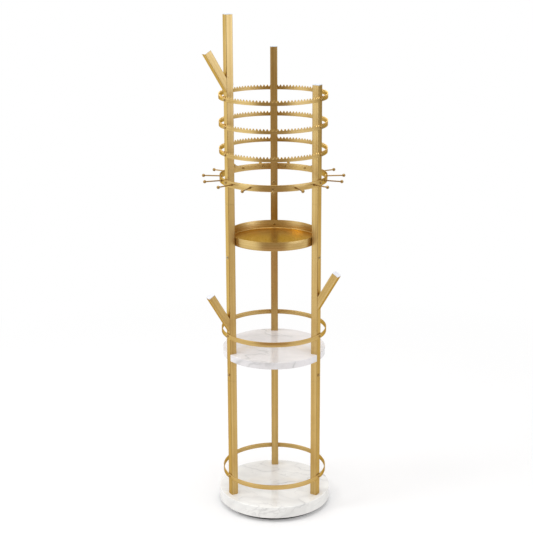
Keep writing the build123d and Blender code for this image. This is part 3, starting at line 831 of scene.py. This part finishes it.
class STAND_OT_stage(Operator):
    """Set up the floor, the room light, the lamps and the camera"""
    bl_idname = "stand.stage"
    bl_label = "Stage"
    bl_options = {"REGISTER", "UNDO"}

    def execute(self, context):
        scene = context.scene
        studio = scene.stand_studio
        scene.view_settings.view_transform = "Standard"
        self.room(scene, studio)
        self.floor(studio)
        self.surround()
        self.lamps(scene)
        self.camera(scene, studio)
        return {"FINISHED"}

    def room(self, scene, studio):
        """Even light on the object, and a white room behind it."""
        scene.world = bpy.data.worlds.new("room")
        scene.world.use_nodes = True
        tree = NodeTree(scene.world.node_tree)
        even = tree.nodes["Background"]
        tree.fill(even, {"Color": WHITE, "Strength": studio.sky})
        white = tree.add("Background", {"Color": WHITE, "Strength": 1.0})
        seen = seen_as_backdrop(tree)
        both = tree.add("MixShader", {0: seen, 1: even.outputs[0], 2: white.outputs[0]})
        tree.fill(tree.nodes["World Output"], {"Surface": both.outputs[0]})

    def floor(self, studio):
        """A pale floor that takes the shadow and fades to white away from the stand."""
        finish = Finish("floor_white")
        place = finish.object_place()
        away = finish.add("VectorMath", {0: place}, operation="LENGTH").outputs["Value"]
        seen = seen_as_backdrop(finish)
        distance = finish.span(away, 0.0, 1.0, studio.fade_start, studio.fade_end)
        fade = finish.maths("MULTIPLY", distance, seen)
        tone = finish.grain(scale=3, detail=2.0)
        finish.set({
            "Base Color": finish.mix(tone, dimmed(studio.floor, share=0.985), studio.floor),
            "Roughness": 0.8,
            "Specular IOR Level": 0.1,
        })
        white = finish.add("Emission", {"Color": WHITE, "Strength": 1.0})
        lift = finish.add("Emission", {"Strength": finish.maths("MULTIPLY", seen, studio.lift)})
        near = finish.add("AddShader", {0: finish.shader.outputs[0], 1: lift.outputs[0]})
        finish.show(finish.add("MixShader", {0: fade, 1: near.outputs[0], 2: white.outputs[0]}))
        bm = bmesh.new()
        bmesh.ops.create_circle(bm, cap_ends=True, radius=studio.floor_radius, segments=96)
        staged(bm, "floor", finish)

    def surround(self):
        """Cards round the studio, which only reflections see."""
        for name, radius, low, high, start, sweep, level in CARDS:
            finish = Finish(name)
            finish.show(finish.add("Emission", {"Color": (*level, 1), "Strength": 1.0}))
            first = math.radians(start)
            spot = (radius * math.cos(first), radius * math.sin(first))
            bm = bmesh.new()
            verts = [bm.verts.new((*spot, height)) for height in (low, high)]
            edge = bm.edges.new(verts)
            bmesh.ops.spin(
                bm, geom=verts + [edge], cent=(0, 0, 0), axis=(0, 0, 1),
                angle=math.radians(sweep), steps=CARD_STEPS
            )
            card = staged(bm, name, finish)
            card.visible_camera = card.visible_diffuse = card.visible_shadow = False

    def lamps(self, scene):
        """Three soft lamps: a key from the upper left, a fill from the right and one overhead."""
        for name, place, width, power in LAMPS:
            light = bpy.data.lights.new(name, "AREA")
            light.shape = "SQUARE"
            light.size = width
            light.energy = power
            lamp = bpy.data.objects.new(name, light)
            lamp.location = place
            aim = LAMP_AIM - Vector(place)
            lamp.rotation_euler = aim.to_track_quat("-Z", "Y").to_euler()
            scene.collection.objects.link(lamp)

    def camera(self, scene, studio):
        """The camera at the height, distance and tilt of the picture."""
        data = bpy.data.cameras.new("camera")
        data.lens = studio.lens
        camera = bpy.data.objects.new("camera", data)
        turn = Matrix.Rotation(-studio.turn, 4, "Z")
        place = Matrix.Translation((studio.aside, -studio.distance, studio.height))
        aim = (
            Matrix.Rotation(studio.pan, 4, "Z")
            @ Matrix.Rotation(math.pi / 2 - studio.tilt, 4, "X")
            @ Matrix.Rotation(studio.roll, 4, "Z")
        )
        camera.matrix_world = turn @ place @ aim
        scene.collection.objects.link(camera)
        scene.camera = camera


class STAND_PT_pieces(Panel):
    """Lists the pieces of the stand"""
    bl_idname = "STAND_PT_pieces"
    bl_label = "Jewellery stand"
    bl_space_type = "VIEW_3D"
    bl_region_type = "UI"
    bl_category = "Stand"

    def draw(self, context):
        for operator in OPERATORS:
            self.layout.operator(operator.bl_idname)


OPERATORS = (
    STAND_OT_stage, STAND_OT_foot, STAND_OT_stone, STAND_OT_posts, STAND_OT_hooks,
    STAND_OT_rings, STAND_OT_earring_rings, STAND_OT_pegs, STAND_OT_tray, STAND_OT_plugs,
    STAND_OT_fasteners,
)
GROUPS = {
    "stand_finish": FinishSettings,
    "stand_rings": RingSettings,
    "stand_pegs": PegSettings,
    "stand_tray": TraySettings,
    "stand_studio": StudioSettings,
}
CLASSES = (*GROUPS.values(), *OPERATORS, STAND_PT_pieces)


def register():
    for kind in CLASSES:
        bpy.utils.register_class(kind)
    for name, group in GROUPS.items():
        setattr(bpy.types.Scene, name, PointerProperty(type=group))


def unregister():
    for name in GROUPS:
        delattr(bpy.types.Scene, name)
    for kind in reversed(CLASSES):
        bpy.utils.unregister_class(kind)


def main():
    """Makes every piece in turn."""
    register()
    for operator in OPERATORS:
        getattr(bpy.ops.stand, operator.bl_idname.split(".")[1])()


if __name__ == "__main__":
    main()
